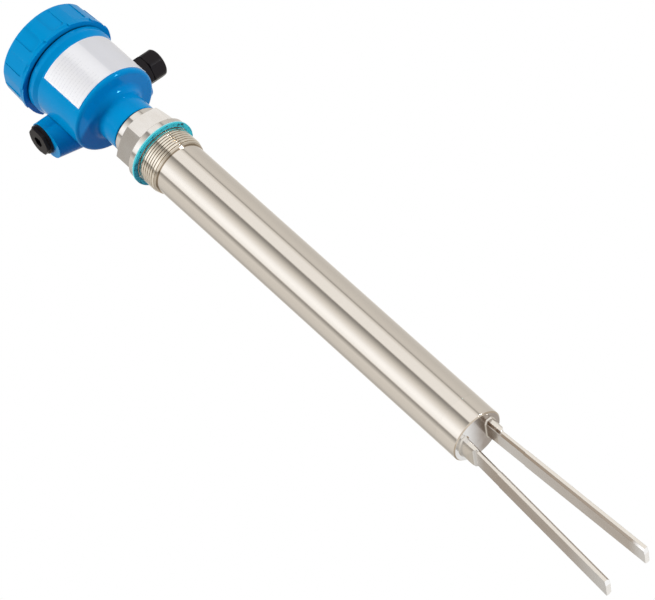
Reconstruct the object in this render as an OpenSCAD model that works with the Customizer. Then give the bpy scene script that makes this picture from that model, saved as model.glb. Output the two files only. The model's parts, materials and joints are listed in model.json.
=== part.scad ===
// Vibrating fork level switch with an extension tube, for bulk solids in silos.
// The origin is on the axis where the gasket meets the vessel; +Z goes up to the housing and the
// fork hangs at -Z.
// +X is the direction of the cable gland, -X that of the blind plug. Sizes are millimetres.

/* [Process connection] */
// Outside diameter of the process thread
thread_d = 47.8; // [44:0.1:60]
// Length of the process thread under the gasket
thread_len = 17; // [12:0.5:40]
// Diameter of the round flange over the gasket
flange_d = 54; // [52:0.5:70]
// Height of the round flange
flange_h = 6; // [3:0.5:12]
// Width of the hexagon across its flats
hex_af = 46; // [42:0.5:60]
// Height of the hexagon
hex_h = 16; // [10:0.5:30]
// Diameter of the round collar over the hexagon
collar_d = 41; // [36:0.5:44]
// Height of the collar
collar_h = 7.5; // [4:0.5:20]
// Outside diameter of the flat gasket
gasket_d = 55.5; // [52:0.5:72]
// Thickness of the flat gasket
gasket_t = 2; // [1:0.25:4]
// Bore for the sensor lead
lead_bore_d = 14; // [10:0.5:18]

/* [Tube and fork] */
// Length from the flange to the fork tips
insert_len = 500; // [350:5:1500]
// Outside diameter of the extension tube and the fork base
tube_d = 43; // [40:0.5:43.5]
// Wall of the extension tube
tube_wall = 2; // [1.5:0.25:3]
// Length of the tines under the fork base
tine_len = 151.8; // [110:0.1:180]
// Thickness of the paddles
tine_t = 4; // [3:0.1:5]
// Width of the paddles
tine_w = 17.1; // [14:0.1:19]
// Distance between the paddle middles at the fork base
tine_gap_root = 20; // [18:0.1:22]
// Outward lean of each tine in degrees
tine_lean = 2.91; // [0:0.01:3]
// Bevel on the inner edges of the tines, across their thickness
tine_bevel = 1.5; // [0.5:0.1:2]
// Radius of the round outer side of the tines' root blocks
root_r = 16.6; // [15.5:0.1:18]
// Width of the root blocks
root_w = 20.4; // [19:0.1:22]
// Length of the root blocks down to their shoulders
root_len = 9.5; // [6:0.5:14]
// Length of the fork base
fork_base_len = 20; // [18:0.5:40]
// Thickness of the fork base's diaphragm
diaphragm_t = 3; // [2:0.25:4]
// Turn of the fork against the cable gland in degrees
fork_turn = -4; // [-90:1:90]

/* [Housing] */
// Outside diameter of the housing
body_d = 72.4; // [70:0.2:84]
// Height of the housing's side from its bottom to the bead
body_h = 49.5; // [46:0.5:70]
// Wall of the housing
body_wall = 3.7; // [3:0.1:5]
// Floor thickness of the housing
floor_t = 5.5; // [4:0.5:8]
// Outside diameter of the neck
neck_d = 40; // [38:0.5:44]
// Length of the neck under the housing's bottom
neck_len = 24.5; // [22:0.5:40]
// Diameter of the spigot that the neck turns on
spigot_d = 30; // [26:0.5:31]
// Radial clearance of the neck on its spigot
neck_clear = 0.3; // [0.2:0.05:0.5]
// How far the bead under the lid stands out from the housing's side
bead_out = 1.7; // [0.8:0.1:3]
// Height of the bead
bead_h = 8; // [4:0.5:12]
// Height of the threaded rim over the bead
rim_h = 19; // [12:0.5:30]
// Distance of the cable entries' axis under the bead
entry_drop = 17.4; // [17:0.1:20]
// Distance of the cable entries' axis from the housing's back
entry_inset = 14.2; // [13:0.1:18]
// Diameter of the cable entry threads
entry_d = 20; // [16:0.5:20]
// Diameter of the bosses at the cable entries
boss_d = 26; // [25:0.5:28]
// How far the plug's boss stands out from the housing's side
boss_out = 9.7; // [4:0.1:20]
// How far the gland's boss stands out from the housing's side
pad_out = 6.8; // [4:0.1:20]
// How far the bosses reach down further than they are round
boss_drop = 6.4; // [2:0.2:8]
// Slope of the bosses' underside in degrees
boss_slope = 13; // [6:1:13]

/* [Lid] */
// How far the lid stands out from the housing's side
lid_out = 6.25; // [5:0.05:10]
// Height of the lid
lid_h = 26.6; // [24:0.2:40]
// Thickness of the lid's top
lid_top_t = 3.5; // [2.5:0.25:6]
// Number of grip recesses
grip_count = 12; // [8:1:16]
// Depth of the grip recesses
grip_depth = 1.2; // [0.5:0.1:2]
// Width of the grip recesses
grip_w = 11.9; // [8:0.1:13]
// Step of the lid's stepped lower rim
rim_step = 1.1; // [0.2:0.1:1.2]
// Thickness of the lid's seal ring
lid_seal_t = 2; // [1.5:0.25:3]
// Radial clearance of the lid on the housing's rim
lid_clear = 0.35; // [0.2:0.05:0.5]
// Gap under the lid
lid_gap = 0.6; // [0.3:0.1:1]

/* [Label] */
// Height of the bare label wrap
label_h = 41.5; // [20:0.5:44]
// Thickness of the label
label_t = 0.3; // [0.2:0.05:0.5]
// Angle where the label starts
label_from = 217.5; // [205:0.5:240]
// Angle where the label ends
label_to = 337; // [300:0.5:338]

/* [Cable gland and blind plug] */
// Width of the gland nut and the gland's hexagon across flats
gland_af = 22; // [22:0.5:27]
// Length of the gland nut
gland_nut_len = 13; // [10:0.5:18]
// Diameter of the cable that the gland's seal takes
cable_d = 9; // [6:0.5:10]
// Width of the blind plug's head across flats
plug_af = 21; // [20:0.5:27]
// Thickness of the blind plug's head
plug_head_t = 4.3; // [4:0.1:8]
// Width of the blind plug's hexagon socket
plug_socket_af = 8; // [5:0.5:10]

/* [Electronics] */
// Gap between the electronics insert and the housing's wall
insert_gap = 1.5; // [0.5:0.1:3]
// Height of the electronics insert
insert_h = 9.5; // [8:0.5:14]
// Height of the posts under the insert
post_h = 6; // [5:0.5:10]
// Number of terminals
terminal_count = 4; // [2:1:5]
// Travel of the setting sliders
slider_travel = 2; // [1.5:0.25:3]

/* [Drive] */
// Diameter of the piezo discs
piezo_d = 24; // [18:0.5:28]
// Thickness of a piezo disc
piezo_t = 2; // [1:0.25:3]
// Number of piezo discs
piezo_count = 4; // [2:2:6]
// Diameter of the drive's stud
stud_d = 6; // [5:0.5:8]
// Diameter of the sensor lead
lead_d = 5; // [3:0.5:7]

/* [Hidden] */
$fn = 96;
play = 0.3;               // running gap between pieces that pass each other
fit_gap = 0.1;            // radial gap of pieces that are welded or pressed
edge = 1;                 // plain edge chamfer
arc_steps = 8;            // steps of a modelled fillet

// Heights over the gasket's underside
flange_z = gasket_t;
hex_z = flange_z + flange_h;
collar_z = hex_z + hex_h;
collar_top = collar_z + collar_h;
neck_z = collar_top + 0.5;
seal_z = neck_z + neck_len / 2;
bottom_z = neck_z + neck_len;
floor_z = bottom_z + floor_t;
bead_z = bottom_z + body_h;
bead_top = bead_z + bead_h;
rim_top = bead_top + rim_h;
ring_t = 1.5;
ring_z = floor_z + play;
spigot_top = ring_z + ring_t + 2.5;

// Heights under the gasket
relief_depth = 1.6;
thread_edge = 1.2;
tube_z = -(thread_len + 2);
socket_len = 6;
face_z = flange_z - (insert_len - tine_len);
base_z = face_z + fork_base_len;
diaphragm_z = face_z + diaphragm_t;

// Radii
thread_r = thread_d / 2;
tube_r = tube_d / 2;
tube_in_r = tube_r - tube_wall;
cavity_r = tube_in_r - 2;
spigot_r = spigot_d / 2;
body_r = body_d / 2;
room_r = body_r - body_wall;
bead_r = body_r + bead_out;
boss_reach = body_r + boss_out;
pad_reach = body_r + pad_out;
lid_r = body_r + lid_out;
seal_depth = 2.4;
thread_rim_r = body_r - edge;
entry_r = entry_d / 2;
entry_y = body_r - entry_inset;
entry_height = bead_z - entry_drop;

// Label and lid
label_gap = 0.05;
label_z = bottom_z + 4;
lid_z = bead_top + lid_gap;
lid_top = lid_z + lid_h;
lid_in_r = thread_rim_r + lid_clear;
lid_shelf = rim_top + lid_seal_t;
lid_room_r = room_r - edge;
lid_rim_h = 3.2;
lid_side_r = lid_r - rim_step / 2;
lid_edge_r = 2.5;
lid_draft = 1;
grip_z = lid_z + lid_rim_h + 1.1;
grip_corner = 2.5;
rim_turn = 10.5;

// Cable gland and blind plug
washer_t = 1;
gland_hex_t = 7.5;
stub_len = 9;
gland_nut_gap = 0.4;
gland_end_t = 4;
gland_r = gland_af / 2 - 1.7;
plug_r_out = plug_af / 2 + 1.7;

// Electronics
insert_z = floor_z + post_h;
insert_top = insert_z + insert_h;
insert_r = room_r - insert_gap;
post_ring_r = insert_r - 6;
post_r = 4;
post_angles = [90, 210, 330];
screw_r = 1.5;
screw_head_r = 2.8;
screw_head_h = 2;
screw_ear = 4;
screw_depth = 6;
block_w = 9;
block_h = 11;
terminal_pitch = 8;
block_len = terminal_count * terminal_pitch + 4;
block_y = 2;
switch_w = 18;
switch_d = 9;
switch_h = 5;
switch_y = -12;
slider_pitch = 8;
slider_w = 2.4;
slider_h = 2;
slot_depth = 3;
lamp_r = 2.5;
lamp_x = 13.5;

// Drive
insulator_t = 1;
contact_t = 0.4;
pressure_t = 5;
nut_t = 5;
stack_z = diaphragm_z + insulator_t;
stack_top = stack_z + piezo_count * piezo_t + (piezo_count - 1) * contact_t;
pressure_z = stack_top + insulator_t;
nut_z = pressure_z + pressure_t;
stud_top = nut_z + nut_t + 3;
plug_r = 6;
plug_len = 8;
lead_top = insert_z - plug_len;

steel = "#c9c3ba";
blue = "#0f7fc4";
black = "#2b2727";
white = "#ecebe8";
teal = "#35b3b8";
amber = "#c9822b";

// Points of an arc round c, from angle a to angle b
function arc(c, r, a, b) =
    [for (i = [0 : arc_steps]) c + r * [cos(a + (b - a) * i / arc_steps), sin(a + (b - a) * i / arc_steps)]];

// Radius of a hexagon's corners from its width across flats
function hex_r(af) = af / sqrt(3);

// A ring between two radii
module ring(r_out, r_in, z, h) {
    translate([0, 0, z]) difference() {
        cylinder(r = r_out, h = h);
        translate([0, 0, -1]) cylinder(r = r_in, h = h + 2);
    }
}

// A hexagon prism with its corners rounded off at the top
module hexagon(af, h, bevel) {
    intersection() {
        cylinder(r = hex_r(af), h = h, $fn = 6);
        rotate_extrude() polygon([
            [0, 0], [hex_r(af) + 1, 0], [hex_r(af) + 1, h - bevel * (hex_r(af) + 1 - af / 2)],
            [af / 2, h], [0, h]
        ]);
    }
}

// Lays a shape that stands on +Z along the axis of the cable entries, from a distance to one side
module entry(side, reach) {
    translate([side * reach, entry_y, entry_height]) rotate([0, side * 90, 0]) children();
}

// Turned process fitting: thread, flange, hexagon, collar and the spigot that carries the housing
module process_fitting() {
    half_groove = seal_depth * 0.7;
    color(steel) difference() {
        union() {
            rotate_extrude() polygon(concat(
                [
                    [0, tube_z - socket_len], [tube_in_r - fit_gap, tube_z - socket_len],
                    [tube_in_r - fit_gap, tube_z], [thread_r - thread_edge, tube_z],
                    [thread_r, tube_z + thread_edge], [thread_r, 0],
                    [thread_r - relief_depth, gasket_t / 2], [thread_r - relief_depth, flange_z],
                    [flange_d / 2, flange_z], [flange_d / 2, hex_z - edge], [flange_d / 2 - edge, hex_z],
                    [collar_d / 2, hex_z], [collar_d / 2, collar_top - edge],
                    [collar_d / 2 - edge, collar_top], [spigot_r, collar_top]
                ],
                [
                    [spigot_r, seal_z - half_groove], [spigot_r - seal_depth, seal_z - half_groove],
                    [spigot_r - seal_depth, seal_z + half_groove], [spigot_r, seal_z + half_groove],
                    [spigot_r, ring_z], [spigot_r - 1.6, ring_z],
                    [spigot_r - 1.6, ring_z + ring_t + fit_gap], [spigot_r, ring_z + ring_t + fit_gap],
                    [spigot_r, spigot_top - edge], [spigot_r - edge, spigot_top], [0, spigot_top]
                ]
            ));
            translate([0, 0, hex_z]) hexagon(hex_af, hex_h, 0.5);
        }
        translate([0, 0, tube_z - socket_len - 1])
            cylinder(d = lead_bore_d, h = spigot_top - tube_z + socket_len + 2);
    }
}

// Flat gasket under the flange
module process_gasket() {
    color(teal) ring(gasket_d / 2, thread_r + play, 0, gasket_t);
}

// Extension tube, welded to the fitting and to the fork base
module extension_tube() {
    color(steel) ring(tube_r, tube_in_r, base_z, tube_z - base_z);
}

// Section of a paddle with bevels on its inner edges
module paddle_section(t) {
    inner = -t / 2;
    side = tine_w / 2;
    bevel_w = 1.4;
    polygon([
        [t / 2, -side], [t / 2, side], [inner + tine_bevel, side], [inner, side - bevel_w],
        [inner, -side + bevel_w], [inner + tine_bevel, -side]
    ]);
}

// Paddle: thinner down to a small step, with one corner of its tip cut off
module paddle() {
    length = tine_len / cos(tine_lean);
    step_at = 37;
    step = 0.25;
    side = tine_w / 2;
    tip_cut = 5;
    tip_rise = 1.1;
    translate([0, 0, -edge]) linear_extrude(height = step_at + edge) paddle_section(tine_t - 2 * step);
    intersection() {
        translate([0, 0, step_at]) linear_extrude(height = length - step_at) paddle_section(tine_t);
        translate([-tine_t, 0, 0]) rotate([90, 0, 90]) linear_extrude(height = 2 * tine_t) polygon([
            [-side - edge, 0], [side + edge, 0],
            [side + edge, length - tip_rise * (tip_cut + edge) / tip_cut],
            [side - tip_cut, length], [-side - edge, length]
        ]);
    }
}

// Plan of a root block: flat towards the other tine, bevelled at its inner edges
module root_plan(grow) {
    inner = -tine_t / 2 + 0.2 - grow;
    side = root_w / 2 + grow;
    bevel = [1.6, 3.6];
    polygon([
        [root_r, -side], [root_r, side], [inner + bevel[0], side], [inner, side - bevel[1]],
        [inner, -side + bevel[1]], [inner + bevel[0], -side]
    ]);
}

// Side outline of a root block, with x across the fork and y running down from the fork base
module root_side() {
    mid = tine_gap_root / 2 - 0.5;
    end_len = root_len + 4;
    curve_len = 0.7 * end_len;
    polygon(concat(
        [[mid - 4, -edge], [root_r + 0.2, -edge]],
        [for (i = [0 : arc_steps]) [
            mid + (root_r + 0.2 - mid) * cos(90 * i / arc_steps),
            end_len - curve_len * (1 - sin(90 * i / arc_steps))
        ]],
        [[mid - 2.5, end_len - 8.2], [mid - 4, end_len - 8.2]]
    ));
}

// Root block: round outer side, rounded off at its lower end, with a weld fillet on the diaphragm
module root_block() {
    weld = 0.9;
    sunk = 0.2;
    intersection() {
        translate([0, 0, face_z - 2 * root_len]) cylinder(r = root_r, h = 2 * root_len + edge);
        translate([0, 0, face_z]) rotate([-90, 0, 0]) translate([0, 0, -root_w])
            linear_extrude(height = 2 * root_w) root_side();
        tine_frame() translate([0, 0, -edge]) linear_extrude(height = 2 * root_len) root_plan(0);
    }
    intersection() {
        translate([0, 0, face_z - weld]) cylinder(r1 = root_r, r2 = root_r + weld + sunk, h = weld + sunk);
        tine_frame() hull() {
            translate([0, 0, -sunk]) linear_extrude(height = sunk) root_plan(weld);
            translate([0, 0, weld]) linear_extrude(height = sunk) root_plan(0);
        }
    }
}

// Puts a shape that runs along +Z on the line of the +X tine
module tine_frame() {
    translate([tine_gap_root / 2, 0, face_z]) rotate([0, -tine_lean, 0]) rotate([180, 0, 0]) children();
}

// One tine, hanging from the fork base on the +X side
module tine() {
    root_block();
    tine_frame() paddle();
}

// Fork: base cup with its diaphragm, and two tines
module tuning_fork() {
    color(steel) rotate([0, 0, fork_turn]) union() {
        rotate_extrude() polygon([
            [0, face_z], [tube_r - edge, face_z], [tube_r, face_z + edge], [tube_r, base_z],
            [tube_in_r - fit_gap, base_z], [tube_in_r - fit_gap, base_z + socket_len],
            [cavity_r, base_z + socket_len], [cavity_r, diaphragm_z], [0, diaphragm_z]
        ]);
        tine();
        mirror([1, 0, 0]) tine();
    }
}

// Stud that stands on the diaphragm and pulls the piezo stack down on it
module drive_stud() {
    color(steel) translate([0, 0, diaphragm_z]) cylinder(d = stud_d, h = stud_top - diaphragm_z);
}

// Hexagon nut on the stud
module drive_nut() {
    color(steel) translate([0, 0, nut_z]) difference() {
        hexagon(stud_d * 1.7, nut_t, 0.5);
        translate([0, 0, -1]) cylinder(r = stud_d / 2 + fit_gap, h = nut_t + 2);
    }
}

// Pressure plate over the stack
module pressure_plate() {
    color(steel) ring(piezo_d / 2, stud_d / 2 + play, pressure_z, pressure_t);
}

// Ring-shaped piezo discs
module piezo_discs() {
    color(amber) for (i = [0 : piezo_count - 1])
        ring(piezo_d / 2, stud_d / 2 + 1, stack_z + i * (piezo_t + contact_t), piezo_t);
}

// Contact plates between the piezo discs, each with a tab for its wire
module contact_plates() {
    color("#c8a24a") for (i = [0 : piezo_count - 2])
        translate([0, 0, stack_z + (i + 1) * piezo_t + i * contact_t]) {
            ring(piezo_d / 2, stud_d / 2 + 1, 0, contact_t);
            rotate([0, 0, 40 * i]) translate([piezo_d / 2 - 2, -1.5, 0]) cube([5, 3, contact_t]);
        }
}

// Insulating discs under and over the piezo discs
module insulating_discs() {
    color(white) {
        ring(piezo_d / 2 + 1, stud_d / 2 + play, diaphragm_z, insulator_t);
        ring(piezo_d / 2 + 1, stud_d / 2 + play, stack_top, insulator_t);
    }
}

// Lead from the drive up to the electronics
module sensor_lead() {
    color(black) translate([0, 0, stud_top]) cylinder(d = lead_d, h = lead_top - stud_top);
}

// O-ring in the groove of the spigot
module neck_seal() {
    section_r = (seal_depth + neck_clear / 2) / 2;
    color(black) translate([0, 0, seal_z]) rotate_extrude()
        translate([spigot_r - seal_depth + section_r, 0]) circle(r = section_r, $fn = 48);
}

// Open ring in the spigot's upper groove, which keeps the housing on
module retaining_ring() {
    color(steel) difference() {
        ring(spigot_r + 3, spigot_r - 1.5, ring_z, ring_t);
        translate([0, -2.5, floor_z]) cube([spigot_r + 5, 5, ring_t + 2]);
    }
}

// One boss of a cable entry: round at the top, flat at the sides, and with an underside that
// slopes down from the end face towards the pot
module boss(side, reach) {
    boss_r = boss_d / 2;
    side_w = boss_d - edge;
    boss_from = entry_r - edge;
    fall = reach * tan(boss_slope);
    entry(side, 0) cylinder(r = boss_r, h = reach);
    translate([0, entry_y + side_w / 2, entry_height]) rotate([90, 0, 0]) linear_extrude(height = side_w)
        polygon([[0, 0], [side * reach, 0], [side * reach, -boss_drop], [0, -boss_drop - fall]]);
    intersection() {
        translate([0, 0, -boss_drop]) entry(side, reach) rotate([0, -side * boss_slope, 0])
            translate([0, 0, -2 * reach]) cylinder(r = boss_r, h = 3 * reach);
        translate([side * (reach + boss_from) / 2, entry_y, entry_height])
            cube([reach - boss_from, 2 * boss_d, 4 * boss_d], center = true);
    }
}

// Housing: neck, round pot, two bosses in line for the cable entries, bead and threaded rim
module housing() {
    fillet = 6;
    round_r = 3;
    foot_w = 2.4;
    bead_run = 2;
    color(blue) difference() {
        union() {
            rotate_extrude() polygon(concat(
                [[spigot_r + neck_clear, collar_top], [spigot_r + foot_w, collar_top],
                 [spigot_r + foot_w, neck_z], [neck_d / 2 - 0.6, neck_z], [neck_d / 2, neck_z + 0.6]],
                arc([neck_d / 2 + fillet, bottom_z - fillet], fillet, 180, 90),
                arc([body_r - round_r, bottom_z + round_r], round_r, 270, 360),
                [[body_r, bead_z - bead_run], [bead_r, bead_z + bead_run], [bead_r, bead_top - edge],
                 [bead_r - edge, bead_top], [thread_rim_r, bead_top], [thread_rim_r, rim_top],
                 [room_r, rim_top], [room_r, floor_z], [spigot_r + neck_clear, floor_z]]
            ));
            difference() {
                union() {
                    boss(-1, boss_reach);
                    boss(1, pad_reach);
                }
                translate([0, 0, floor_z - 1]) cylinder(r = room_r, h = body_h);
            }
            for (a = post_angles) rotate([0, 0, a]) translate([post_ring_r, 0, floor_z - edge])
                cylinder(r = post_r, h = post_h + edge);
        }
        entry(1, -boss_reach - 1) cylinder(r = entry_r, h = boss_reach + pad_reach + 2);
        for (a = post_angles) rotate([0, 0, a]) translate([post_ring_r, 0, insert_z])
            translate([0, 0, -screw_depth - 2]) cylinder(r = screw_r + fit_gap, h = screw_depth + 3);
    }
}

// Bare label wrapped round part of the housing
module type_label() {
    span = label_to - label_from;
    color(white) rotate([0, 0, label_from]) translate([0, 0, label_z])
        rotate_extrude(angle = span) translate([body_r + label_gap, 0]) square([label_t, label_h]);
}

// Outline of the lid's lower rim: one step at each grip
module stepped_rim() {
    pitch = 360 / grip_count;
    parts = 5;
    polygon([for (k = [0 : grip_count - 1]) for (i = [0 : parts])
        let (a = rim_turn + pitch * (k + 0.995 * i / parts))
        (lid_r - rim_step * i / parts) * [cos(a), sin(a)]]);
}

// Cutter of one grip recess, open to the top and with rounded lower corners
module grip_cut() {
    reach = 8;
    inner_w = grip_w - 2 * grip_corner;
    translate([0, -grip_w / 2, grip_corner]) cube([reach, grip_w, lid_h]);
    translate([0, -inner_w / 2, 0]) cube([reach, inner_w, lid_h]);
    for (side = [-1, 1]) translate([0, side * inner_w / 2, grip_corner]) rotate([0, 90, 0])
        cylinder(r = grip_corner, h = reach);
}

// Screw lid with grip recesses and a stepped lower rim
module lid() {
    side_top = lid_side_r - lid_draft;
    color(blue) difference() {
        union() {
            translate([0, 0, lid_z]) rotate_extrude() polygon(concat(
                [[0, 0], [lid_side_r - rim_step, 0], [lid_side_r, lid_rim_h]],
                arc([side_top - lid_edge_r, lid_h - lid_edge_r], lid_edge_r, 0, 90),
                [[lid_room_r, lid_h], [lid_room_r - edge / 2, lid_h - edge / 2], [0, lid_h - edge / 2]]
            ));
            translate([0, 0, lid_z]) linear_extrude(height = lid_rim_h) stepped_rim();
        }
        for (k = [0 : grip_count - 1]) rotate([0, 0, k * 360 / grip_count])
            translate([lid_side_r - grip_depth, 0, grip_z])
                rotate([0, -atan(lid_draft / lid_h), 0]) grip_cut();
        translate([0, 0, lid_z - 1]) cylinder(r = lid_in_r, h = lid_shelf - lid_z + 1);
        translate([0, 0, lid_z]) cylinder(r = lid_room_r, h = lid_h - lid_top_t);
    }
}

// Flat seal ring in the lid, which rests on the housing's rim
module lid_seal() {
    color(black) ring(thread_rim_r, room_r + 0.2, rim_top, lid_seal_t);
}

// Flat gasket between the boss and the gland
module gland_gasket() {
    color(black) entry(1, pad_reach) ring(gland_af / 2 + 1, entry_r + fit_gap, 0, washer_t);
}

// Gland body: inner thread, hexagon and outer thread
module gland_body() {
    stub = stub_len + washer_t;
    color(black) entry(1, pad_reach + washer_t) difference() {
        union() {
            translate([0, 0, -stub]) cylinder(r = entry_r - fit_gap, h = stub);
            hexagon(gland_af, gland_hex_t, 0.4);
            cylinder(r = gland_r - fit_gap, h = gland_hex_t + gland_nut_len / 2);
        }
        translate([0, 0, -stub - 1]) cylinder(d = cable_d + 2, h = stub + gland_hex_t + 2);
        translate([0, 0, gland_hex_t]) cylinder(r = gland_r - 1.4, h = gland_nut_len);
    }
}

// Rubber sleeve in the gland that grips the cable
module gland_seal() {
    color(black) entry(1, pad_reach + washer_t + gland_hex_t)
        ring(gland_r - 1.4 - fit_gap, cable_d / 2, 0, gland_nut_gap + gland_nut_len - gland_end_t);
}

// Domed gland nut
module gland_nut() {
    dome = 4;
    dome_arc = 75;
    side_r = hex_r(gland_af);
    flat_r = gland_af / 2;
    color(black) entry(1, pad_reach + washer_t + gland_hex_t + gland_nut_gap) difference() {
        intersection() {
            cylinder(r = side_r, h = gland_nut_len, $fn = 6);
            rotate_extrude() polygon(concat(
                [[0, 0], [flat_r + 0.6, 0], [flat_r + 1, 0.6]],
                arc([flat_r + 1 - dome, gland_nut_len - dome], dome, 0, dome_arc),
                [[cable_d / 2 + 1, gland_nut_len], [0, gland_nut_len]]
            ));
        }
        translate([0, 0, -1]) cylinder(r = gland_r, h = 1 + gland_nut_len - gland_end_t);
        cylinder(r = cable_d / 2 + 0.5, h = gland_nut_len + 1);
    }
}

// Seal ring under the blind plug's head
module plug_seal() {
    color(black) entry(-1, boss_reach) ring(plug_r_out, entry_r + fit_gap, 0, washer_t);
}

// Blind plug with a hexagon head and a hexagon socket
module blind_plug() {
    stub = stub_len + washer_t;
    color(black) entry(-1, boss_reach + washer_t) difference() {
        union() {
            translate([0, 0, -stub]) cylinder(r = entry_r - fit_gap, h = stub);
            cylinder(r = plug_r_out, h = 1.2);
            intersection() {
                hexagon(plug_af, plug_head_t, 0.5);
                cylinder(r = plug_r_out, h = plug_head_t);
            }
        }
        translate([0, 0, plug_head_t - 4]) cylinder(r = hex_r(plug_socket_af), h = 5, $fn = 6);
    }
}

// Plug on the lead's upper end
module sensor_plug() {
    color(white) translate([0, 0, lead_top]) cylinder(r = plug_r, h = plug_len);
}

// Moulded electronics insert with ears for its screws
module electronics_insert() {
    color("#d9dcdf") difference() {
        union() {
            translate([0, 0, insert_z]) cylinder(r = insert_r, h = insert_h - 3);
            translate([0, 0, insert_z]) cylinder(r = insert_r - 2.5, h = insert_h);
        }
        for (a = post_angles) rotate([0, 0, a]) translate([post_ring_r, 0, insert_z]) {
            translate([0, 0, -1]) cylinder(r = screw_r + fit_gap, h = insert_h);
            translate([0, 0, screw_ear]) cylinder(r = screw_head_r + play, h = insert_h);
        }
    }
}

// Screws that hold the insert on its posts
module insert_screws() {
    color(steel) for (a = post_angles) rotate([0, 0, a])
        translate([post_ring_r, 0, insert_z + screw_ear]) {
            translate([0, 0, -screw_ear - screw_depth]) cylinder(r = screw_r, h = screw_ear + screw_depth);
            difference() {
                cylinder(r = screw_head_r, h = screw_head_h);
                translate([-screw_head_r, -0.4, screw_head_h - 0.8]) cube([2 * screw_head_r, 0.8, 1]);
            }
        }
}

// Terminal strip with wire holes on the side of the cable entries
module terminal_block() {
    color("#5b6a63") translate([-block_len / 2, block_y, insert_top]) difference() {
        cube([block_len, block_w, block_h]);
        for (i = [0 : terminal_count - 1]) translate([2 + terminal_pitch * (i + 0.5), 0, 0]) {
            translate([0, block_w / 2 - 0.5, 3.5]) cylinder(r = screw_head_r + play, h = block_h);
            translate([0, block_w / 2, 2.2]) rotate([-90, 0, 0]) cylinder(r = 1.6, h = block_w);
        }
    }
}

// Slotted screws of the terminals
module terminal_screws() {
    color(steel) for (i = [0 : terminal_count - 1])
        translate([-block_len / 2 + 2 + terminal_pitch * (i + 0.5), block_y, insert_top + 3.5])
            translate([0, block_w / 2 - 0.5, 0]) difference() {
                cylinder(r = screw_head_r, h = 5);
                translate([-screw_head_r, -0.4, 4.2]) cube([2 * screw_head_r, 0.8, 1]);
            }
}

// Carrier of the two setting sliders
module switch_block() {
    color("#b63a32") translate([-switch_w / 2, switch_y - switch_d / 2, insert_top]) difference() {
        cube([switch_w, switch_d, switch_h]);
        for (side = [-1, 1]) translate([switch_w / 2 + side * slider_pitch / 2 - slider_w / 2 - play,
                switch_d / 2 - slider_w / 2 - slider_travel / 2 - play, switch_h - slot_depth])
            cube([slider_w + 2 * play, slider_w + slider_travel + 2 * play, slot_depth + 1]);
    }
}

// One setting slider in its slot, at the -Y end of its travel
module slider(side) {
    color(white) translate([side * slider_pitch / 2 - slider_w / 2,
            switch_y - slider_w / 2 - slider_travel / 2, insert_top + switch_h - slot_depth])
        cube([slider_w, slider_w, slot_depth + slider_h]);
}

module mode_slider() { slider(-1); }

module density_slider() { slider(1); }

// Signal lamp on the insert
module signal_lamp() {
    color("#5fb34a") translate([lamp_x, switch_y, insert_top]) {
        cylinder(r = lamp_r, h = 2.5);
        translate([0, 0, 2.5]) intersection() {
            sphere(r = lamp_r);
            cylinder(r = lamp_r, h = lamp_r);
        }
    }
}

process_fitting();
process_gasket();
extension_tube();
tuning_fork();
drive_stud();
drive_nut();
pressure_plate();
piezo_discs();
contact_plates();
insulating_discs();
sensor_lead();
neck_seal();
retaining_ring();
housing();
type_label();
lid();
lid_seal();
gland_gasket();
gland_body();
gland_seal();
gland_nut();
plug_seal();
blind_plug();
sensor_plug();
electronics_insert();
insert_screws();
terminal_block();
terminal_screws();
switch_block();
mode_slider();
density_slider();
signal_lamp();
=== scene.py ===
"""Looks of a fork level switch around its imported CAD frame: thread, print, finishes, studio, camera.

Everything is in metres in the CAD frame: the origin is on the axis at the gasket's underside, +Z goes
up to the housing and the fork hangs at -Z.
"""

import json
import math

import bmesh
import bpy
from mathutils import Matrix, Vector


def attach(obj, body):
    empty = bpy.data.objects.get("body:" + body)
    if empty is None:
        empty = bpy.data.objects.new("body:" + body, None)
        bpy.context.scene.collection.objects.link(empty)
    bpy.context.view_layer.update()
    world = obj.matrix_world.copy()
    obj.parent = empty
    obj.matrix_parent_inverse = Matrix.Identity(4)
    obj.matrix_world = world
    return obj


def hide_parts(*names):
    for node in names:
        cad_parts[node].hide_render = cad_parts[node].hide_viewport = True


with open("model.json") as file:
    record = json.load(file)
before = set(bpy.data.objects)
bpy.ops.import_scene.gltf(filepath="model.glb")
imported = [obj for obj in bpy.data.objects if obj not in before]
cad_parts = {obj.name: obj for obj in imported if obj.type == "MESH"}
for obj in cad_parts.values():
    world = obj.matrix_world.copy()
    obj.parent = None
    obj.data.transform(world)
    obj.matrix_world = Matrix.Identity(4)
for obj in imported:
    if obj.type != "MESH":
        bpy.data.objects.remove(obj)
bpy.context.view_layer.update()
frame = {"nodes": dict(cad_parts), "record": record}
nodes = frame["nodes"]

MM = 0.001

# Sizes repeated from the part's source; azimuths are in degrees
THREAD_R = 23.9 * MM
THREAD_TOP = 0.0
THREAD_FOOT = -19.0 * MM
THREAD_PITCH = 2.309 * MM
LABEL_R = 36.55 * MM
LABEL_Z = (60.5 * MM, 102.0 * MM)
LABEL_AZIMUTH = (217.5, 337.0)
FORK_TIP_Z = -498.0 * MM
FORK_FACE_Z = -346.2 * MM

# The helix that takes the place of the plain thread
THREAD_DEPTH = 1.15 * MM
TAPER_FROM = -15.0 * MM
THREAD_TAPER = 0.3
RELIEF = 0.8 * MM  # height of the groove under the gasket
# painted shade on the thread's last turn reaches this far above its foot
SHADED_LAST_TURN = 1.4 * MM  # darker end of the thread

# Places on the gasket and the label
# start of the painted highlight on the gasket's outer wall
GASKET_HIGHLIGHT_Z = 1.45 * MM
PRINT_ROW = 3.0 * MM
PRINT_LEFT_END = 262.0
PRINT_RIGHT_START = 268.0
FOIL_TURN = 277.0  # where the foil turns greyer

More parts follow.
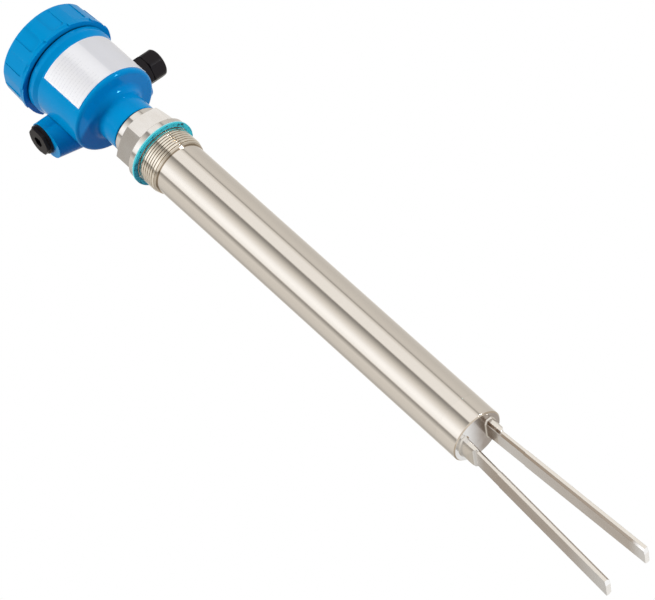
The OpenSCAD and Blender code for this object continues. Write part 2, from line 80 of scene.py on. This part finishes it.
STEEL_WARM = (0.80, 0.755, 0.70)
BLUE = (0.0, 0.305, 0.63)
BLUE_GLOSS = (0.1, 0.6, 1.0)
# colour of the painted highlight along the blue plastic's edges
BLUE_EDGE_HIGHLIGHT = (0.0, 0.43, 0.78)

AROUND = (30.0, 30.0, 5000.0)  # stretch of tool lines that run round the axis
ALONG = (2200.0, 2200.0, 40.0)  # stretch of grinding lines that run along the axis
LINE_DEPTH = 0.0015 * MM


# Node helpers


def new_material(name):
    """A material with a Principled shader, its node tree and that shader."""
    material = bpy.data.materials.new(name)
    material.use_nodes = True
    return material, material.node_tree, material.node_tree.nodes["Principled BSDF"]


def new_node(tree, kind, settings=(), **inputs):
    """A node with its settings and inputs; an input is a plain value or another node's socket.

    Inputs go by name, or by number as i0, i1 and so on.
    """
    node = tree.nodes.new(kind)
    for key, setting in dict(settings).items():
        setattr(node, key, setting)
    for key, given in inputs.items():
        numbered = key[0] == "i" and key[1:].isdigit()
        socket = node.inputs[int(key[1:]) if numbered else key]
        if isinstance(given, bpy.types.NodeSocket):
            tree.links.new(given, socket)
        else:
            socket.default_value = given
    return node


def math_node(tree, operation, a, b=0.0, clamp=False):
    """Output of a Math node."""
    settings = {"operation": operation, "use_clamp": clamp}
    return new_node(tree, "ShaderNodeMath", settings, i0=a, i1=b).outputs[0]


def product(tree, a, b, clamp=False):
    """a times b."""
    return math_node(tree, "MULTIPLY", a, b, clamp)


def above(tree, factor, level):
    """1 where the factor is over a level."""
    return math_node(tree, "GREATER_THAN", factor, level)


def under(tree, factor, level):
    """1 where the factor is under a level."""
    return math_node(tree, "LESS_THAN", factor, level)


def between(tree, factor, low, high):
    """1 where the factor is between low and high."""
    return product(tree, above(tree, factor, low), under(tree, factor, high))


def remap(tree, factor, low, high, start=0.0, end=1.0):
    """Factor from start to end mapped to low to high."""
    return new_node(tree, "ShaderNodeMapRange", i0=factor, i1=start, i2=end, i3=low, i4=high).outputs[0]


def frame_point(tree):
    """The shaded point in the CAD frame, as x, y and z sockets and the vector."""
    vector = tree.nodes.new("ShaderNodeTexCoord").outputs["Object"]
    split = new_node(tree, "ShaderNodeSeparateXYZ", i0=vector)
    return split.outputs[0], split.outputs[1], split.outputs[2], vector


def face_normal(tree):
    """The surface's own normal in the CAD frame, as x, y and z sockets."""
    normal = tree.nodes.new("ShaderNodeTexCoord").outputs["Normal"]
    return new_node(tree, "ShaderNodeSeparateXYZ", i0=normal).outputs


def noise(tree, vector, stretch=(1, 1, 1), scale=1.0, detail=3.0):
    """Factor of a noise texture on a stretched vector."""
    mapped = new_node(tree, "ShaderNodeMapping", i0=vector, Scale=stretch).outputs[0]
    texture = new_node(
        tree, "ShaderNodeTexNoise", Vector=mapped, Scale=scale, Detail=detail, Roughness=0.55
    )
    return texture.outputs[0]


def ramp(tree, factor, stops):
    """Colour of a ramp whose stops are (place, colour) or (place, grey)."""
    node = new_node(tree, "ShaderNodeValToRGB", i0=factor)
    elements = node.color_ramp.elements
    while len(elements) < len(stops):
        elements.new(0.5)
    for element, (place, colour) in zip(elements, stops):
        grey = isinstance(colour, (int, float))
        element.position = place
        element.color = (colour, colour, colour, 1) if grey else (*colour, 1)
    return node.outputs[0]


def mix(tree, factor, a, b, blend="MIX"):
    """Colour mix of a and b."""
    node = new_node(tree, "ShaderNodeMix", {"data_type": "RGBA", "blend_type": blend}, i0=factor)
    for socket, given in ((node.inputs[6], a), (node.inputs[7], b)):
        if isinstance(given, bpy.types.NodeSocket):
            tree.links.new(given, socket)
        else:
            socket.default_value = (*given, 1)
    return node.outputs[2]


def soft_normal(tree, radius):
    """Normal over softly rounded edges."""
    return new_node(tree, "ShaderNodeBevel", {"samples": 6}, Radius=radius).outputs[0]


def bump(tree, bsdf, height, distance, edge=0.0):
    """Bump on the shader's normal, over softly rounded edges where edge is a radius."""
    node = new_node(tree, "ShaderNodeBump", Height=height, Distance=distance, Strength=1.0)
    if edge:
        tree.links.new(soft_normal(tree, edge), node.inputs["Normal"])
    tree.links.new(node.outputs[0], bsdf.inputs["Normal"])


def seen_rays(tree):
    """1 for the rays of the camera, of gloss and of glass."""
    path = tree.nodes.new("ShaderNodeLightPath").outputs
    seen = math_node(tree, "MAXIMUM", path["Is Camera Ray"], path["Is Glossy Ray"])
    return math_node(tree, "MAXIMUM", seen, path["Is Transmission Ray"])


# Finishes


def steel(name, colour, roughness):
    """Turned metal with fine tool lines round the axis."""
    material, tree, bsdf = new_material(name)
    point = frame_point(tree)[3]
    fine = noise(tree, point, AROUND, detail=4.0)
    cloud = noise(tree, point, scale=45.0)
    shade = mix(tree, product(tree, cloud, 0.2), colour, [c * 0.82 for c in colour])
    tree.links.new(shade, bsdf.inputs["Base Color"])
    uneven = remap(tree, cloud, roughness - 0.02, roughness + 0.02)
    rough = math_node(tree, "ADD", remap(tree, fine, -0.02, 0.02), uneven)
    tree.links.new(rough, bsdf.inputs["Roughness"])
    bsdf.inputs["Metallic"].default_value = 1.0
    bump(tree, bsdf, fine, LINE_DEPTH, edge=0.15 * MM)
    return material


def fitting_steel():
    """Turned steel of the fitting, with mottled flats and a warm thread darkened with painted shade in its
    roots and on its last turn.
    """
    material, tree, bsdf = new_material("fitting_steel")
    x, y, z, point = frame_point(tree)
    fine = noise(tree, point, AROUND, detail=4.0)
    cloud = noise(tree, point, (1, 1, 0.6), scale=90.0)
    plain = mix(tree, remap(tree, cloud, -0.4, 1.0), (0.82, 0.80, 0.78), (0.70, 0.66, 0.615))

    # Thread: colour by the depth under its crests, which taper at the end; painted shade darkens the roots
    squares = [math_node(tree, "POWER", side, 2.0) for side in (x, y)]
    radius = math_node(tree, "SQRT", math_node(tree, "ADD", *squares))
    past_taper = math_node(tree, "MAXIMUM", math_node(tree, "SUBTRACT", TAPER_FROM, z), 0.0)
    crest = math_node(tree, "SUBTRACT", THREAD_R, product(tree, past_taper, THREAD_TAPER))
    depth = math_node(tree, "DIVIDE", math_node(tree, "SUBTRACT", crest, radius), THREAD_DEPTH)
    thread = ramp(tree, depth, [
        (0.03, (0.84, 0.78, 0.68)), (0.12, (0.70, 0.63, 0.53)),
        (0.6, (0.42, 0.35, 0.27)), (1.0, (0.20, 0.16, 0.115)),
    ])
    # Painted shade on the thread's last turn
    shaded_last_turn = product(tree, under(tree, z, THREAD_FOOT + SHADED_LAST_TURN), 0.5)
    thread = mix(tree, shaded_last_turn, thread, (0.36, 0.30, 0.235))
    on_thread = between(tree, z, THREAD_FOOT - 0.01 * MM, THREAD_TOP)
    tree.links.new(mix(tree, on_thread, plain, thread), bsdf.inputs["Base Color"])

    rough = math_node(tree, "ADD", remap(tree, fine, -0.02, 0.02), remap(tree, cloud, 0.08, 0.14))
    tree.links.new(rough, bsdf.inputs["Roughness"])
    bsdf.inputs["Metallic"].default_value = 1.0
    bump(tree, bsdf, fine, LINE_DEPTH, edge=0.15 * MM)
    return material


def fork_steel():
    """Fork steel: its cup turned like the tube, the tines ground and brown, from welding heat mixed with
    painted shade.
    """
    material, tree, bsdf = new_material("fork_steel")
    x, _, z, point = frame_point(tree)
    nx, ny, nz = face_normal(tree)
    turned = noise(tree, point, AROUND, detail=4.0)
    ground = noise(tree, point, ALONG)
    cloud = noise(tree, point, (1, 1, 0.35), scale=120.0)
    uneven = remap(tree, cloud, 0.75, 1.2)

    # Height along the tines, 0 at the tips and 1 at the diaphragm
    above_tip = math_node(tree, "SUBTRACT", z, FORK_TIP_Z)
    height = math_node(tree, "DIVIDE", above_tip, FORK_FACE_Z - FORK_TIP_Z)

    # Brown of the wide faces, outside and towards the other tine: heat tint of the welding mixed with
    # painted shade and reflection along the height, dark at the inner roots
    heat_and_shade_out = ramp(tree, height, [
        (0.03, 0.0), (0.11, 0.25), (0.27, 0.8), (0.45, 0.92), (0.77, 1.0), (0.86, 0.85), (0.92, 0.2),
        (1.0, 0.1),
    ])
    heat_and_shade_in = ramp(tree, height, [
        (0.03, 0.0), (0.10, 0.75), (0.40, 0.6), (0.70, 0.4), (0.86, 0.2), (0.93, 0.4), (0.97, 1.0),
    ])
    outside = above(tree, product(tree, nx, x), 0.0)
    wide = above(tree, math_node(tree, "ABSOLUTE", nx), 0.85)
    heat_and_shade = product(tree, mix(tree, outside, heat_and_shade_in, heat_and_shade_out), wide)
    tint = product(tree, heat_and_shade, uneven, clamp=True)

    # Bare metal, greyed with painted shade at the roots, and warmer narrow faces, then the brown
    bare_with_shaded_roots = mix(tree, above(tree, height, 0.925), (0.93, 0.925, 0.92), (0.72, 0.68, 0.62))
    narrow = above(tree, math_node(tree, "ABSOLUTE", ny), 0.85)
    tines = mix(tree, narrow, bare_with_shaded_roots, (0.79, 0.75, 0.695))
    tines = mix(tree, tint, tines, (0.565, 0.475, 0.395))

    # Painted shade: a dark stripe on the bevel of one inner edge, picked by which way it faces
    shaded_bevel = product(tree, between(tree, nx, -0.85, -0.5), under(tree, ny, -0.4))
    shaded_bevel = product(tree, shaded_bevel, ramp(tree, height, [(0.03, 0.0), (0.08, 0.9), (0.9, 1.0), (0.95, 0.0)]))
    tines = mix(tree, shaded_bevel, tines, (0.275, 0.217, 0.165))

    # Diaphragm, darkened towards +X by painted shade and reflection near the right tine's root
    shaded_patch = remap(tree, x, 0.0, 1.0, start=-9 * MM, end=5 * MM)
    shaded_patch = product(tree, shaded_patch, uneven, clamp=True)
    face = mix(tree, shaded_patch, (0.84, 0.855, 0.885), (0.36, 0.32, 0.29))
    on_face = product(tree, under(tree, nz, -0.95), above(tree, height, 0.9))
    tines = mix(tree, on_face, tines, face)

    # Cup, with a painted reflection of its rounded rim as a brown band at its edge
    edge = between(tree, z, FORK_FACE_Z - MM, FORK_FACE_Z + 0.9 * MM)
    cup = mix(tree, edge, STEEL_WARM, (0.58, 0.50, 0.41))
    on_cup = above(tree, z, FORK_FACE_Z + 0.02 * MM)
    tree.links.new(mix(tree, on_cup, tines, cup), bsdf.inputs["Base Color"])

    rough = math_node(tree, "SUBTRACT", remap(tree, cloud, 0.16, 0.22), product(tree, on_cup, 0.09))
    tree.links.new(rough, bsdf.inputs["Roughness"])
    bsdf.inputs["Metallic"].default_value = 1.0
    bump(tree, bsdf, mix(tree, on_cup, ground, turned), LINE_DEPTH, edge=0.3 * MM)
    return material


def plastic(
    name, colour, roughness, specular, grain=0.006 * MM, edge=0.35 * MM, tint=(1, 1, 1), shade_gap=0.0, edge_highlight=None
):
    """Moulded plastic with faint cloudiness and fine grain.

    It is darkened by painted shade in gaps narrower than the given width, and gets a painted highlight along
    its edges when given a highlight colour.
    """
    material, tree, bsdf = new_material(name)
    point = frame_point(tree)[3]
    cloud = noise(tree, point, scale=60.0, detail=4.0)
    grainy = noise(tree, point, scale=2600.0, detail=2.0)
    shade = mix(tree, cloud, [c * 0.95 for c in colour], [c * 1.05 for c in colour])
    # Painted highlight: paler along the edges, where the soft normal turns from the flat one
    if edge_highlight:
        plain = tree.nodes.new("ShaderNodeNewGeometry").outputs["Normal"]
        soft = soft_normal(tree, edge * 1.3)
        along = new_node(tree, "ShaderNodeVectorMath", {"operation": "DOT_PRODUCT"}, i0=soft, i1=plain)
        on_edge_highlight = remap(tree, along.outputs["Value"], 0.0, 0.6, start=0.995, end=0.90)
        shade = mix(tree, on_edge_highlight, shade, edge_highlight)
    # Painted shade: darker in gaps and under overhangs
    if shade_gap:
        air = new_node(tree, "ShaderNodeAmbientOcclusion", {"samples": 8}, Distance=shade_gap).outputs["AO"]
        shade = mix(tree, ramp(tree, air, [(0.15, 0.0), (0.62, 1.0)]), [c * 0.06 for c in colour], shade)
    tree.links.new(shade, bsdf.inputs["Base Color"])
    tree.links.new(remap(tree, cloud, roughness - 0.04, roughness + 0.04), bsdf.inputs["Roughness"])
    bsdf.inputs["Specular IOR Level"].default_value = specular
    bsdf.inputs["Specular Tint"].default_value = (*tint, 1)
    bump(tree, bsdf, grainy, grain, edge=edge)
    return material


def teal_gasket():
    """Pressed fibre gasket with dark flecks and a painted highlight along its upper outer edge."""
    material, tree, bsdf = new_material("teal_gasket")
    _, _, z, point = frame_point(tree)
    fibre = noise(tree, point, scale=900.0, detail=4.0)
    flecks = ramp(tree, noise(tree, point, (1, 1, 2), scale=230.0, detail=2.0), [(0.35, 0.0), (0.42, 1.0)])
    base = mix(tree, fibre, (0.025, 0.52, 0.55), (0.055, 0.70, 0.74))
    face = mix(tree, flecks, (0.010, 0.10, 0.11), base)
    outside = under(tree, math_node(tree, "ABSOLUTE", face_normal(tree)[2]), 0.5)
    # Painted highlight: the outer wall is pale above its upper edge line
    wall_and_highlight = mix(tree, above(tree, z, GASKET_HIGHLIGHT_Z), (0.06, 0.60, 0.63), (0.42, 0.84, 0.85))
    tree.links.new(mix(tree, outside, face, wall_and_highlight), bsdf.inputs["Base Color"])
    bsdf.inputs["Roughness"].default_value = 0.55
    bsdf.inputs["Specular IOR Level"].default_value = 0.25
    bump(tree, bsdf, fibre, 0.03 * MM, edge=0.2 * MM)
    return material


def label_foil():
    """Satin silver foil with a pale border and faint grey print rows; no lettering."""
    material, tree, bsdf = new_material("label_foil")
    x, y, z, point = frame_point(tree)
    degrees = product(tree, math_node(tree, "ARCTAN2", y, x), 180 / math.pi)
    azimuth = math_node(tree, "ADD", degrees, 360.0)

    # Rows of blurred marks, dense on the left part and sparse on the right part
    along = product(tree, azimuth, LABEL_R / MM * math.pi / 180)
    row = math_node(tree, "DIVIDE", z, PRINT_ROW)
    inked = between(tree, math_node(tree, "FRACT", row), 0.36, 0.64)
    cell = new_node(
        tree, "ShaderNodeCombineXYZ", i0=product(tree, along, 1.1), i1=math_node(tree, "FLOOR", row)
    )
    marks = noise(tree, cell.outputs[0], detail=1.0)
    left = between(tree, azimuth, LABEL_AZIMUTH[0] + 3, PRINT_LEFT_END)
    dense = product(tree, left, above(tree, marks, 0.50))
    right = between(tree, azimuth, PRINT_RIGHT_START, LABEL_AZIMUTH[1] - 8)
    sparse = product(tree, right, above(tree, marks, 0.66))
    body = between(tree, z, LABEL_Z[0] + 3 * MM, LABEL_Z[1] - 4 * MM)
    printed = product(tree, product(tree, inked, body), math_node(tree, "ADD", dense, sparse))

    foil = mix(tree, noise(tree, point, scale=500.0), (0.87, 0.865, 0.85), (0.92, 0.915, 0.90))
    foil = mix(tree, above(tree, azimuth, FOIL_TURN), foil, (0.83, 0.83, 0.825))
    shade = mix(tree, product(tree, printed, 0.15), foil, (0.22, 0.23, 0.25))
    inside = product(
        tree,
        between(tree, azimuth, LABEL_AZIMUTH[0] + 0.9, LABEL_AZIMUTH[1] - 0.9),
        between(tree, z, LABEL_Z[0] + 0.6 * MM, LABEL_Z[1] - 0.6 * MM),
    )
    tree.links.new(mix(tree, inside, (0.92, 0.92, 0.92), shade), bsdf.inputs["Base Color"])
    bsdf.inputs["Metallic"].default_value = 0.35
    bsdf.inputs["Roughness"].default_value = 0.28
    bump(tree, bsdf, noise(tree, point, scale=300.0), 0.006 * MM)
    return material


finishes = {
    "fitting_steel": fitting_steel(),
    "tube_steel": steel("tube_steel", STEEL_WARM, 0.10),
    "fork_steel": fork_steel(),
    "gasket_teal": teal_gasket(),
    "housing_blue": plastic("housing_blue", BLUE, 0.13, 0.15, tint=BLUE_GLOSS, shade_gap=2.5 * MM, edge_highlight=BLUE_EDGE_HIGHLIGHT),
    "lid_blue": plastic("lid_blue", BLUE, 0.16, 0.15, tint=BLUE_GLOSS, shade_gap=2.5 * MM, edge_highlight=BLUE_EDGE_HIGHLIGHT),
    "label_foil": label_foil(),
    "black_plastic": plastic("black_plastic", (0.009, 0.006, 0.007), 0.36, 0.16),
    "black_rubber": plastic("black_rubber", (0.014, 0.014, 0.015), 0.7, 0.3, grain=0.02 * MM),
    "insert_grey": plastic("insert_grey", (0.63, 0.65, 0.66), 0.5, 0.4),
    "terminal_green": plastic("terminal_green", (0.09, 0.14, 0.12), 0.45, 0.4),
    "switch_red": plastic("switch_red", (0.42, 0.045, 0.035), 0.4, 0.4),
    "slider_white": plastic("slider_white", (0.82, 0.82, 0.80), 0.45, 0.4, edge=0.1 * MM),
    "lamp_green": plastic("lamp_green", (0.10, 0.44, 0.08), 0.2, 0.6),
    "screw_steel": steel("screw_steel", (0.74, 0.74, 0.74), 0.22),
    "piezo_ceramic": plastic("piezo_ceramic", (0.50, 0.38, 0.22), 0.6, 0.4),
    "contact_brass": steel("contact_brass", (0.80, 0.60, 0.28), 0.28),
    "insulator_white": plastic("insulator_white", (0.80, 0.80, 0.78), 0.5, 0.4),
    "lead_black": plastic("lead_black", (0.02, 0.02, 0.02), 0.5, 0.4),
}


def dress(obj, slot):
    """Gives an object the finish of a material slot."""
    obj.data.materials.clear()
    obj.data.materials.append(finishes[slot])


for subpart in frame["record"]["subparts"]:
    dress(nodes[subpart["node"]], subpart["material_slot"])


# The thread, which the solids leave to the scene


def thread_depth(turns):
    """Depth of the thread, 0 on its wide crests to 1 in its narrow roots."""
    saw = abs(2 * (turns % 1.0) - 1)
    return min(1.0, max(0.0, (saw - 0.70) / 0.25))


def crest_radius(z):
    """Radius of the thread's crests, which taper towards its end."""
    return THREAD_R - THREAD_TAPER * max(0.0, TAPER_FROM - z)


def smooth_by_angle(mesh, degrees=32.0):
    """Smooth shading with sharp edges above an angle."""
    work = bmesh.new()
    work.from_mesh(mesh)
    limit = math.radians(degrees)
    for face in work.faces:
        face.smooth = True
    for edge in work.edges:
        edge.smooth = len(edge.link_faces) == 2 and edge.calc_face_angle(0.0) < limit
    work.to_mesh(mesh)
    work.free()


def threaded_fitting(source, segments=160, rows_per_pitch=24):
    """The fitting's own shape with a real helical thread in place of its plain cylinder."""
    work = bmesh.new()
    work.from_mesh(source.data)
    near = 0.05 * MM
    root = crest_radius(THREAD_FOOT)
    plain = [
        face for face in work.faces
        if all(
            root - near < math.hypot(v.co.x, v.co.y) < THREAD_R + near
            and THREAD_FOOT - near < v.co.z < THREAD_TOP + near
            for v in face.verts
        )
    ]
    bmesh.ops.delete(work, geom=plain, context="FACES")
    rows = round((THREAD_TOP - THREAD_FOOT) / THREAD_PITCH * rows_per_pitch)
    rings = []
    for row in range(rows + 2):  # the last ring closes the groove against the flange
        z = THREAD_FOOT + (THREAD_TOP - THREAD_FOOT) * min(row, rows) / rows
        relief = max(0.0, 1 - (THREAD_TOP - z) / RELIEF)
        ring = []
        for k in range(segments):
            turn = k / segments
            cut = max(relief, thread_depth(z / THREAD_PITCH - turn))
            r = THREAD_R if row > rows else max(root, crest_radius(z) - THREAD_DEPTH * cut)
            ring.append(work.verts.new((r * math.cos(math.tau * turn), r * math.sin(math.tau * turn), z)))
        rings.append(ring)
    for low, high in zip(rings, rings[1:]):
        for k in range(segments):
            n = (k + 1) % segments
            work.faces.new((low[k], low[n], high[n], high[k]))
    mesh = bpy.data.meshes.new("fitting_threaded")
    work.to_mesh(mesh)
    work.free()
    smooth_by_angle(mesh)
    obj = bpy.data.objects.new("fitting_threaded", mesh)
    bpy.context.scene.collection.objects.link(obj)
    return obj


fitting = threaded_fitting(nodes["process_fitting"])
dress(fitting, "fitting_steel")
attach(fitting, "sensor")
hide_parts("process_fitting")


# Studio: pale floor, soft light, bright and dark panels that only the metal's gloss sees

CENTRE = Vector((0.0, 0.0, -0.16))
FLOOR_HALF = 8.0
FLOOR_GAP = 0.06  # air between the fork's tips and the floor
PANEL_RADIUS = 3.0
PANEL_Z = (-3.0, 5.0)
PANEL_GAIN = 1.25
PANEL_SEGMENTS = 180
# Azimuth in degrees and brightness of the panels round the object, the back half and the front half
PANELS = [
    [
        (0, 0.51), (31, 0.52), (62, 0.70), (80, 0.60), (101, 0.37), (112, 0.48), (130, 0.57), (163, 0.62),
        (180, 0.27),
    ],
    [
        (180, 0.27), (183, 0.32), (187, 0.86), (205, 1.00), (215, 0.96), (239, 0.60), (258, 0.25),
        (263.5, 0.22), (265, 0.70), (268, 0.80), (300, 0.80), (311, 0.60), (314, 0.29), (316, 0.29),
        (319, 0.52), (327, 0.57), (360, 0.51),
    ],
]


def stage_object(name, verts, faces, material):
    """A mesh of the studio, which isn't part of the object."""
    mesh = bpy.data.meshes.new(name)
    mesh.from_pydata(verts, [], faces)
    mesh.materials.append(material)
    obj = bpy.data.objects.new(name, mesh)
    bpy.context.scene.collection.objects.link(obj)
    return obj


def pale_floor():
    """A pale floor under the fork, see-through from below, where the photograph's camera stands."""
    material, tree, bsdf = new_material("pale_floor")
    shade = mix(tree, seen_rays(tree), (0.17, 0.20, 0.40), (0.88, 0.89, 0.91))
    tree.links.new(shade, bsdf.inputs["Base Color"])
    bsdf.inputs["Roughness"].default_value = 0.8
    bsdf.inputs["Specular IOR Level"].default_value = 0.1
    below = tree.nodes.new("ShaderNodeNewGeometry").outputs["Backfacing"]
    clear = tree.nodes.new("ShaderNodeBsdfTransparent")
    both = new_node(tree, "ShaderNodeMixShader", i0=below, i1=bsdf.outputs[0], i2=clear.outputs[0])
    tree.links.new(both.outputs[0], tree.nodes["Material Output"].inputs[0])
    corners = [(-1, -1), (1, -1), (1, 1), (-1, 1)]
    verts = [(FLOOR_HALF * px, FLOOR_HALF * py, 0) for px, py in corners]
    obj = stage_object("pale_floor", verts, [(0, 1, 2, 3)], material)
    obj.location.z = FORK_TIP_Z - FLOOR_GAP
    obj.visible_shadow = obj.visible_glossy = False


def panel_wall():
    """A tall open ring of panels round the object, seen by glossy rays only."""
    material = bpy.data.materials.new("panel_wall")
    material.use_nodes = True
    tree = material.node_tree
    tree.nodes.clear()
    x, y, _, _ = frame_point(tree)
    turn = math_node(tree, "FRACT", math_node(tree, "DIVIDE", math_node(tree, "ARCTAN2", y, x), math.tau))
    back, front = (ramp(tree, turn, [(azimuth / 360, grey) for azimuth, grey in half]) for half in PANELS)
    colour = mix(tree, above(tree, turn, 0.5), back, front)
    bright = remap(tree, colour, 0.0, 1.0, start=0.6, end=0.95)
    warmth = mix(tree, bright, (1.03, 0.985, 0.92), (1, 1, 1))
    colour = mix(tree, 1.0, colour, warmth, "MULTIPLY")
    glow = new_node(tree, "ShaderNodeEmission", Color=colour, Strength=PANEL_GAIN)
    out = tree.nodes.new("ShaderNodeOutputMaterial")
    tree.links.new(glow.outputs[0], out.inputs[0])
    count = PANEL_SEGMENTS
    turns = [math.tau * k / count for k in range(count)]
    verts = [(PANEL_RADIUS * math.cos(t), PANEL_RADIUS * math.sin(t), z) for z in PANEL_Z for t in turns]
    faces = [(k, (k + 1) % count, count + (k + 1) % count, count + k) for k in range(count)]
    obj = stage_object("panel_wall", verts, faces, material)
    obj.visible_camera = obj.visible_diffuse = obj.visible_shadow = obj.visible_transmission = False


def white_world(ambient):
    """White for the camera, gloss and glass; soft ambient light for the rest."""
    world = bpy.data.worlds.new("studio")
    world.use_nodes = True
    bpy.context.scene.world = world
    tree = world.node_tree
    tree.nodes.clear()
    soft = new_node(tree, "ShaderNodeBackground", Color=(1, 1, 1, 1), Strength=ambient)
    white = new_node(tree, "ShaderNodeBackground", Color=(1, 1, 1, 1), Strength=1.0)
    both = new_node(tree, "ShaderNodeMixShader", i0=seen_rays(tree), i1=soft.outputs[0], i2=white.outputs[0])
    out = tree.nodes.new("ShaderNodeOutputWorld")
    tree.links.new(both.outputs[0], out.inputs[0])


def hang_lamp(lamp, azimuth, elevation, distance, gloss):
    """Hangs a lamp at an azimuth and elevation in degrees, looking at the object's middle."""
    a, e = math.radians(azimuth), math.radians(elevation)
    direction = Vector((math.cos(a) * math.cos(e), math.sin(a) * math.cos(e), math.sin(e)))
    obj = bpy.data.objects.new(lamp.name, lamp)
    obj.location = CENTRE + distance * direction
    obj.rotation_euler = (CENTRE - obj.location).to_track_quat("-Z", "Y").to_euler()
    obj.visible_glossy = gloss
    obj.visible_camera = False
    bpy.context.scene.collection.objects.link(obj)


def far_light(name, azimuth, elevation, strength, angle):
    """Even soft light from far away, which the gloss doesn't show."""
    lamp = bpy.data.lights.new(name, "SUN")
    lamp.energy = strength
    lamp.angle = math.radians(angle)
    hang_lamp(lamp, azimuth, elevation, 4.0, gloss=False)


def strip_light(name, azimuth, elevation, distance, size, watts, colour):
    """A lying strip lamp that the gloss of the surfaces shows as a stroke."""
    lamp = bpy.data.lights.new(name, "AREA")
    lamp.shape = "RECTANGLE"
    lamp.size, lamp.size_y = size
    lamp.energy = watts
    lamp.color = colour
    hang_lamp(lamp, azimuth, elevation, distance, gloss=True)


def photo_camera():
    """The photograph's camera: below the object, looking up along it."""
    camera = bpy.data.cameras.new("photo_camera")
    camera.sensor_fit = "HORIZONTAL"
    camera.sensor_width = 36.0
    camera.lens = 219.85
    camera.clip_start, camera.clip_end = 0.1, 50.0
    obj = bpy.data.objects.new("photo_camera", camera)
    right = Vector((0.76002602, 0.05510782, -0.64755199))
    up = Vector((0.54028656, -0.607329, 0.58244478))
    back = -Vector((0.36117984, 0.79253682, 0.49135985))
    turn = Matrix((right, up, back)).transposed().to_4x4()
    obj.matrix_world = Matrix.Translation((-1.02718716, -2.25610528, -1.58355165)) @ turn
    bpy.context.scene.collection.objects.link(obj)
    bpy.context.scene.camera = obj


pale_floor()
panel_wall()
white_world(ambient=0.52)
far_light("key_light", azimuth=190, elevation=30, strength=1.55, angle=20)
far_light("front_light", azimuth=255, elevation=28, strength=0.66, angle=28)
strip_light(
    "low_light", azimuth=316, elevation=-30, distance=2.0,
    size=(0.30, 0.08), watts=23.0, colour=(0.93, 0.95, 1.0),
)
photo_camera()
bpy.context.scene.view_settings.view_transform = "Standard"
